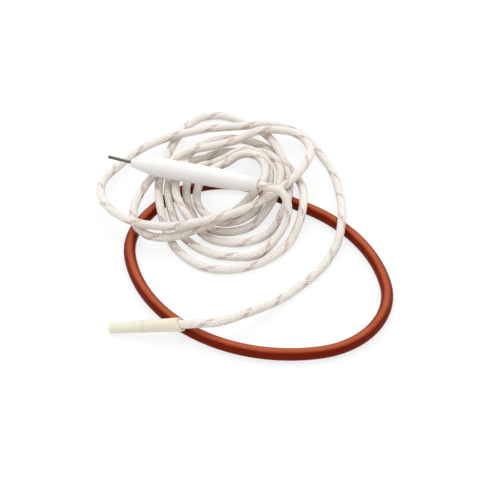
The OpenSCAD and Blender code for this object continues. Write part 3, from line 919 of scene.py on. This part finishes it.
# The lip: how far the bore narrows, how much of that shows outside, and at which share of the length
sleeve_lip = 0.45 * mm
lip_outside = 0.4
lip_from = 0.93
sleeve_slant = 1.6 * mm
slant_power = 8
sleeve_steps = 48
rim_steps = 6
sleeve_sides = 64
sleeve_milk = (0.925, 0.92, 0.69, 1)
sleeve_clear = (0.945, 0.93, 0.77, 1)
sleeve_cream = (0.945, 0.885, 0.70, 1)
sleeve_grey = (0.72, 0.71, 0.60, 1)
# The crimp shows through as a grey spot, and the braid makes the sleeve look creamier
crimp_z = 16.5 * mm
crimp_spot = 3 * mm
crimp_show = 0.45
braid_fade = 3 * mm


def sleeve_section(share, out):
    """The outer or inner radius of the wall at a share of the length, with a lip just before the end."""
    lip = sleeve_lip * max(0, (share - lip_from) / (1 - lip_from)) ** 2
    front = sleeve_front_r if out else sleeve_bore_r
    rear = sleeve_rear_r if out else sleeve_rear_r - sleeve_wall
    return front + (rear - front) * share - lip * (lip_outside if out else 1)


shares = np.arange(sleeve_steps + 1) / sleeve_steps
outline = [(sleeve_section(share, True), share * sleeve_len) for share in shares]
for ends, share in ((1, 1), (-1, 0)):
    outer, inner = sleeve_section(share, True), sleeve_section(share, False)
    rim_r = (outer - inner) / 2
    for k in range(1, rim_steps):
        a = math.pi * k / rim_steps
        rim = (rim_r * math.cos(a) * ends, rim_r * math.sin(a) * ends)
        outline.append(((outer + inner) / 2 + rim[0], share * sleeve_len + rim[1]))
    if ends == 1:
        outline += [(sleeve_section(share, False), share * sleeve_len) for share in shares[::-1]]
sleeve_rings = lathe_rings(outline, sleeve_sides)
# The rear end is cut askew: its underside keeps the whole length and its top is shorter
askew = (sleeve_rings[..., 0] / sleeve_rear_r - 1) * (sleeve_rings[..., 2] / sleeve_len) ** slant_power
sleeve_rings[..., 2] += sleeve_slant * askew
clear_sleeve = skin("clear_sleeve", in_frame(sleeve_rings, *sleeve_pose), loop=True)
milky, tree, shader = new_finish(
    "milky silicone", Roughness=0.38, Transmission_Weight=0.2, IOR=1.41, Specular_IOR_Level=0.4
)
haze = grain(tree, 4 * mm, 3)
from_end = place_along(tree, *sleeve_pose)[2]
over_braid = ramp(tree, from_end, braid_end_z, braid_end_z + braid_fade)
off_crimp = calc(tree, "DIVIDE", calc(tree, "SUBTRACT", from_end, crimp_z), crimp_spot)
off_crimp = calc(tree, "ABSOLUTE", off_crimp)
over_crimp = past(tree, crimp_show, off_crimp)
milk = tint(tree, haze, sleeve_milk, sleeve_clear)
milk = tint(tree, over_crimp, tint(tree, over_braid, milk, sleeve_cream), sleeve_grey)
plug(tree, shader.inputs["Base Color"], milk)
emboss(tree, shader, grain(tree, 1.2 * mm, 3), 0.03 * mm)
dress(clear_sleeve, milky)
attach(clear_sleeve, "sleeve")
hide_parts("terminal_sleeve")

# Seal ring: a loop of red-brown silicone cord, pulled to an oval of two tighter and two wider arcs and
# pushed outwards at the back. It is moulded with a smooth glossy skin and lies loose under the coil.
ring_sizes = {
    "Cord radius": ring_r, "End radius": ring_end_r, "End offset": ring_end_x,
    "Side radius": ring_side_r, "Side offset": ring_side_y, "Push": ring_push,
}
ring_points = 384
ring_section = 32
side_arc = math.pi - 2 * ring_end_arc
end_share = ring_end_arc * 2 * ring_end_r / (ring_end_arc * 2 * ring_end_r + side_arc * ring_side_r)
# The cord's colour on top, with a painted highlight, and low down, with painted shade
silicone_highlight_red = (0.44, 0.095, 0.036, 1)
silicone_shade_red = (0.155, 0.0095, 0.0008, 1)
# The heights between which the painted shade low on the cord turns to a painted highlight on top, and how
# far that wavers
sheen_from = 5.565 * mm
sheen_full = 6.265 * mm
sheen_waver = 0.49 * mm

silicone, tree, shader = new_finish("red silicone", Specular_IOR_Level=0.06)
cloud = grain(tree, 9 * mm, 4)
dust = grain(tree, 0.7 * mm, 3)
# Painted sheen: darker low on the cord and lighter on top, by height, wavering with a cloud
height = calc(tree, "MULTIPLY_ADD", cloud, sheen_waver, split(tree, object_place(tree))[2])
sheen = ramp(tree, height, sheen_from, sheen_full)
plug(tree, shader.inputs["Base Color"], tint(tree, sheen, silicone_shade_red, silicone_highlight_red))
plug(tree, shader.inputs["Roughness"], pick(tree, dust, 0.22, 0.36))
emboss(tree, shader, dust, 0.02 * mm)

oval, size = new_shape("oval ring", ring_sizes)
path = add(oval, "GeometryNodeCurvePrimitiveCircle", Resolution=ring_points)
share = calc(oval, "DIVIDE", oval.nodes.new("GeometryNodeInputIndex").outputs[0], ring_points / 2)
half = calc(oval, "FRACT", share)
flip = calc(oval, "MULTIPLY_ADD", calc(oval, "GREATER_THAN", share, 0.9999), -2, 1)
on_end = calc(oval, "LESS_THAN", half, end_share)
end_angle = calc(oval, "MULTIPLY_ADD", half, 2 * ring_end_arc / end_share, -ring_end_arc)
side_rate = side_arc / (1 - end_share)
side_angle = calc(oval, "MULTIPLY_ADD", half, side_rate, ring_end_arc - side_rate * end_share)
angle = pick(oval, on_end, side_angle, end_angle)
radius = pick(oval, on_end, size["Side radius"], size["End radius"])
x_off = calc(oval, "MULTIPLY", on_end, size["End offset"])
y_off = calc(oval, "MULTIPLY", calc(oval, "SUBTRACT", on_end, 1), size["Side offset"])
x = calc(oval, "MULTIPLY_ADD", radius, calc(oval, "COSINE", angle), x_off)
y = calc(oval, "MULTIPLY_ADD", radius, calc(oval, "SINE", angle), y_off)
x, y = calc(oval, "MULTIPLY", x, flip), calc(oval, "MULTIPLY", y, flip)
off = calc(oval, "SUBTRACT", calc(oval, "ARCTAN2", y, x), push_at)
off = calc(oval, "ABSOLUTE", calc(oval, "WRAP", off, math.pi, -math.pi))
off = calc(oval, "MINIMUM", calc(oval, "DIVIDE", off, push_half), 1)
share_out = calc(oval, "POWER", calc(oval, "COSINE", calc(oval, "MULTIPLY", off, math.pi / 2)), 2)
reach = calc(oval, "SQRT", calc(oval, "MULTIPLY_ADD", x, x, calc(oval, "MULTIPLY", y, y)))
pushed = calc(oval, "DIVIDE", calc(oval, "MULTIPLY", share_out, size["Push"]), reach)
x, y = (calc(oval, "MULTIPLY_ADD", way, pushed, way) for way in (x, y))
spot = add(oval, "ShaderNodeCombineXYZ", X=x, Y=y)
laid_path = add(oval, "GeometryNodeSetPosition", Geometry=path.outputs[0], Position=spot.outputs[0])
section = add(oval, "GeometryNodeCurvePrimitiveCircle", Resolution=ring_section, Radius=size["Cord radius"])
cord = add(oval, "GeometryNodeCurveToMesh", Curve=laid_path.outputs[0], Profile_Curve=section.outputs[0])
placed = add(
    oval, "GeometryNodeTransform", Geometry=cord.outputs[0], Rotation=(0, 0, ring_turn),
    Translation=(ring_at[0], ring_at[1], ring_r),
)
silicone_ring = grow("silicone_ring", oval, placed.outputs[0], silicone, ring_sizes)
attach(silicone_ring, "probe")
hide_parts("seal_ring")

# Studio: a white table under an even white room and one large soft lamp above and behind on the left.
# The table and the room look white to the camera and in reflections, and the table keeps the shadow.
floor_half = 3.0
floor_corners = [(x * floor_half, y * floor_half, 0) for x, y in ((-1, -1), (1, -1), (1, 1), (-1, 1))]
floor_mesh = bpy.data.meshes.new("floor")
floor_mesh.from_pydata(floor_corners, [], [(0, 1, 2, 3)])
floor = bpy.data.objects.new("floor", floor_mesh)
bpy.context.collection.objects.link(floor)


def seen_directly(tree):
    """1 for rays from the camera, a reflection or a clear piece, 0 for the rest."""
    rays = tree.nodes.new("ShaderNodeLightPath").outputs
    seen = calc(tree, "MAXIMUM", rays["Is Camera Ray"], rays["Is Glossy Ray"])
    return calc(tree, "MAXIMUM", seen, rays["Is Transmission Ray"])


table_white = bpy.data.materials.new("white table")
table_white.use_nodes = True
tree = table_white.node_tree
tree.nodes.clear()
table_matt = add(tree, "ShaderNodeBsdfDiffuse", Color=(0.8, 0.8, 0.8, 1))
shadow_matt = add(tree, "ShaderNodeBsdfDiffuse", Color=(0.22, 0.22, 0.22, 1))
white_glow = add(tree, "ShaderNodeEmission", Color=(1, 1, 1, 1), Strength=0.775)
white_look = tree.nodes.new("ShaderNodeAddShader")
tree.links.new(shadow_matt.outputs[0], white_look.inputs[0])
tree.links.new(white_glow.outputs[0], white_look.inputs[1])
either = tree.nodes.new("ShaderNodeMixShader")
tree.links.new(seen_directly(tree), either.inputs[0])
tree.links.new(table_matt.outputs[0], either.inputs[1])
tree.links.new(white_look.outputs[0], either.inputs[2])
tree.links.new(either.outputs[0], tree.nodes.new("ShaderNodeOutputMaterial").inputs[0])
dress(floor, table_white)

room_light = 0.88
world = bpy.data.worlds.new("white room")
bpy.context.scene.world = world
world.use_nodes = True
tree = world.node_tree
backdrop = tree.nodes["Background"]
backdrop.inputs["Color"].default_value = (1, 1, 1, 1)
plug(tree, backdrop.inputs["Strength"], pick(tree, seen_directly(tree), room_light, 1.0))

lamp_data = bpy.data.lights.new("soft_box", "AREA")
lamp_data.energy = 7.5
lamp_data.size = 1.2
lamp = bpy.data.objects.new("soft_box", lamp_data)
lamp.location = (-0.1, 0.5, 1.2)
lamp.rotation_euler = (math.radians(-22), math.radians(-5), 0)
bpy.context.collection.objects.link(lamp)

bpy.context.scene.view_settings.view_transform = "Standard"
